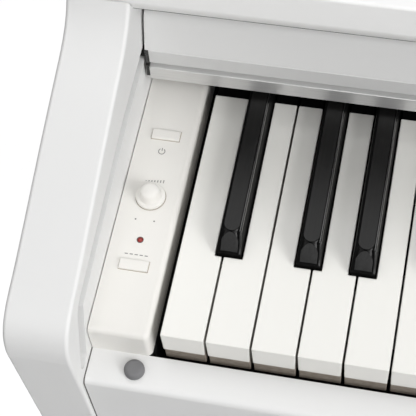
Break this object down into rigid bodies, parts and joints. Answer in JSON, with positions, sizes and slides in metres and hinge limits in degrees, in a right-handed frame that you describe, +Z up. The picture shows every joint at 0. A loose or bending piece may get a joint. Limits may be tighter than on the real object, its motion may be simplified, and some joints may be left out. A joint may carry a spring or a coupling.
{
  "type": "digital piano",
  "caption": "Console digital piano on a fixed stand, with a sliding key cover, end control panel, music rest and pedal bar.",
  "frame": {"origin": "on the floor, under the middle of the piano", "axes": "+X along the keyboard to the treble end, +Y from the player to the back, +Z up"},
  "size_m": [1.364, 0.4, 0.9901],
  "materials": {
    "cabinet": "satin white paint on fibreboard",
    "cover_board": "satin white foil",
    "cover_lip": "satin white",
    "steel": "satin",
    "rubber": "matt grey",
    "glide": "matt black",
    "panel": "fine matt cream white",
    "lamp": "clear red",
    "board": "green solder mask",
    "speaker": "black",
    "grille": "matt black",
    "felt": "black felt",
    "chassis": "matt black",
    "pedal_brass": "polished",
    "white_keys": "smooth off-white",
    "black_keys": "satin black"
  },
  "bodies": {
    "root": {"amplifier_board": "board", "back_panel": "cabinet", "cabinet_screws": "steel", "control_panel": "panel", "floor_glides": "glide", "headphone_box": "grille", "key_back_felt": "felt", "key_chassis": "chassis", "key_contact_strip": "felt", "key_fulcrum_rod": "steel", "key_hold_down_bar": "steel", "keybed": "cabinet", "keyslip": "cabinet", "kick_panel": "cabinet", "left_cheek_block": "chassis", "left_foot": "cabinet", "left_front_leg": "cabinet", "left_side_panel": "cabinet", "left_speaker": "speaker", "left_speaker_grille": "grille", "lid_bumpers": "rubber", "main_circuit_board": "board", "music_rest_hinges": "steel", "panel_circuit_board": "board", "pedal_box": "cabinet", "pedal_pivot_rod": "steel", "pedal_plate": "steel", "power_inlet": "grille", "power_led": "lamp", "right_cheek_block": "chassis", "right_end_panel": "panel", "right_foot": "cabinet", "right_front_leg": "cabinet", "right_side_panel": "cabinet", "right_speaker": "speaker", "right_speaker_grille": "grille", "top_board": "cabinet", "top_rail": "cabinet"},
    "white_key_a0": {"white_key_a0": "white_keys"},
    "black_key_a_sharp_0": {"black_key_a_sharp_0": "black_keys"},
    "white_key_b0": {"white_key_b0": "white_keys"},
    "white_key_c1": {"white_key_c1": "white_keys"},
    "black_key_c_sharp_1": {"black_key_c_sharp_1": "black_keys"},
    "white_key_d1": {"white_key_d1": "white_keys"},
    "black_key_d_sharp_1": {"black_key_d_sharp_1": "black_keys"},
    "white_key_e1": {"white_key_e1": "white_keys"},
    "white_key_f1": {"white_key_f1": "white_keys"},
    "treble_white_keys": {"other_white_keys": "white_keys"},
    "treble_black_keys": {"other_black_keys": "black_keys"},
    "key_cover": {"key_cover_board": "cover_board", "key_cover_lip": "cover_lip", "key_cover_pins": "steel"},
    "power_button": {"power_button": "panel"},
    "function_button": {"function_button": "panel"},
    "volume_knob": {"volume_knob": "panel"},
    "soft_pedal": {"soft_pedal": "pedal_brass"},
    "sostenuto_pedal": {"sostenuto_pedal": "pedal_brass"},
    "damper_pedal": {"damper_pedal": "pedal_brass"},
    "pedal_adjuster": {"pedal_adjuster": "glide"},
    "music_rest": {"music_rest": "cabinet"}
  },
  "joints": [
    {"name": "white_key_a0_press", "type": "hinge", "parent": "root", "child": "white_key_a0", "pos_m": [0, 0.033, 0.721], "axis": [1, 0, 0], "range_deg": [0, 2.8], "stiffness_Nm_per_rad": 0.8, "springref_deg": -10.03},
    {"name": "black_key_a_sharp_0_press", "type": "hinge", "parent": "root", "child": "black_key_a_sharp_0", "pos_m": [0, 0.033, 0.721], "axis": [1, 0, 0], "range_deg": [0, 2.8], "stiffness_Nm_per_rad": 0.8, "springref_deg": -10.03},
    {"name": "white_key_b0_press", "type": "hinge", "parent": "root", "child": "white_key_b0", "pos_m": [0, 0.033, 0.721], "axis": [1, 0, 0], "range_deg": [0, 2.8], "stiffness_Nm_per_rad": 0.8, "springref_deg": -10.03},
    {"name": "white_key_c1_press", "type": "hinge", "parent": "root", "child": "white_key_c1", "pos_m": [0, 0.033, 0.721], "axis": [1, 0, 0], "range_deg": [0, 2.8], "stiffness_Nm_per_rad": 0.8, "springref_deg": -10.03},
    {"name": "black_key_c_sharp_1_press", "type": "hinge", "parent": "root", "child": "black_key_c_sharp_1", "pos_m": [0, 0.033, 0.721], "axis": [1, 0, 0], "range_deg": [0, 2.8], "stiffness_Nm_per_rad": 0.8, "springref_deg": -10.03},
    {"name": "white_key_d1_press", "type": "hinge", "parent": "root", "child": "white_key_d1", "pos_m": [0, 0.033, 0.721], "axis": [1, 0, 0], "range_deg": [0, 2.8], "stiffness_Nm_per_rad": 0.8, "springref_deg": -10.03},
    {"name": "black_key_d_sharp_1_press", "type": "hinge", "parent": "root", "child": "black_key_d_sharp_1", "pos_m": [0, 0.033, 0.721], "axis": [1, 0, 0], "range_deg": [0, 2.8], "stiffness_Nm_per_rad": 0.8, "springref_deg": -10.03},
    {"name": "white_key_e1_press", "type": "hinge", "parent": "root", "child": "white_key_e1", "pos_m": [0, 0.033, 0.721], "axis": [1, 0, 0], "range_deg": [0, 2.8], "stiffness_Nm_per_rad": 0.8, "springref_deg": -10.03},
    {"name": "white_key_f1_press", "type": "hinge", "parent": "root", "child": "white_key_f1", "pos_m": [0, 0.033, 0.721], "axis": [1, 0, 0], "range_deg": [0, 2.8], "stiffness_Nm_per_rad": 0.8, "springref_deg": -10.03},
    {"name": "treble_white_keys_press", "type": "hinge", "parent": "root", "child": "treble_white_keys", "pos_m": [0, 0.033, 0.721], "axis": [1, 0, 0], "range_deg": [0, 2.8], "stiffness_Nm_per_rad": 35, "springref_deg": -10.03},
    {"name": "treble_black_keys_press", "type": "hinge", "parent": "root", "child": "treble_black_keys", "pos_m": [0, 0.033, 0.721], "axis": [1, 0, 0], "range_deg": [0, 2.8], "stiffness_Nm_per_rad": 25, "springref_deg": -10.03},
    {"name": "key_cover_travel", "type": "hinge", "parent": "root", "child": "key_cover", "pos_m": [0, -0.022, -0.4595], "axis": [1, 0, 0], "range_deg": [0, 6.91]},
    {"name": "power_button_press", "type": "slide", "parent": "root", "child": "power_button", "axis": [0, 0, -1], "range_m": [0, 0.001], "stiffness_N_per_m": 400, "springref_m": -0.001},
    {"name": "function_button_press", "type": "slide", "parent": "root", "child": "function_button", "axis": [0, 0, -1], "range_m": [0, 0.001], "stiffness_N_per_m": 400, "springref_m": -0.001},
    {"name": "volume_turn", "type": "hinge", "parent": "root", "child": "volume_knob", "pos_m": [-0.6324, -0.0932, 0.735], "axis": [0, 0, 1], "range_deg": [-140, 140]},
    {"name": "soft_pedal_press", "type": "hinge", "parent": "root", "child": "soft_pedal", "pos_m": [-0.062, 0.086, 0.084], "axis": [1, 0, 0], "range_deg": [0, 6], "stiffness_Nm_per_rad": 6, "springref_deg": -5.73},
    {"name": "sostenuto_pedal_press", "type": "hinge", "parent": "root", "child": "sostenuto_pedal", "pos_m": [0, 0.086, 0.084], "axis": [1, 0, 0], "range_deg": [0, 6], "stiffness_Nm_per_rad": 6, "springref_deg": -5.73},
    {"name": "damper_pedal_press", "type": "hinge", "parent": "root", "child": "damper_pedal", "pos_m": [0.062, 0.086, 0.084], "axis": [1, 0, 0], "range_deg": [0, 6], "stiffness_Nm_per_rad": 6, "springref_deg": -5.73},
    {"name": "pedal_adjuster_turn", "type": "hinge", "parent": "root", "child": "pedal_adjuster", "pos_m": [0, 0.058, 0], "axis": [0, 0, 1], "continuous": true},
    {"name": "music_rest_fold", "type": "hinge", "parent": "root", "child": "music_rest", "pos_m": [0, 0.028, 0.85], "axis": [-1, 0, 0], "range_deg": [0, 70]}
  ]
}
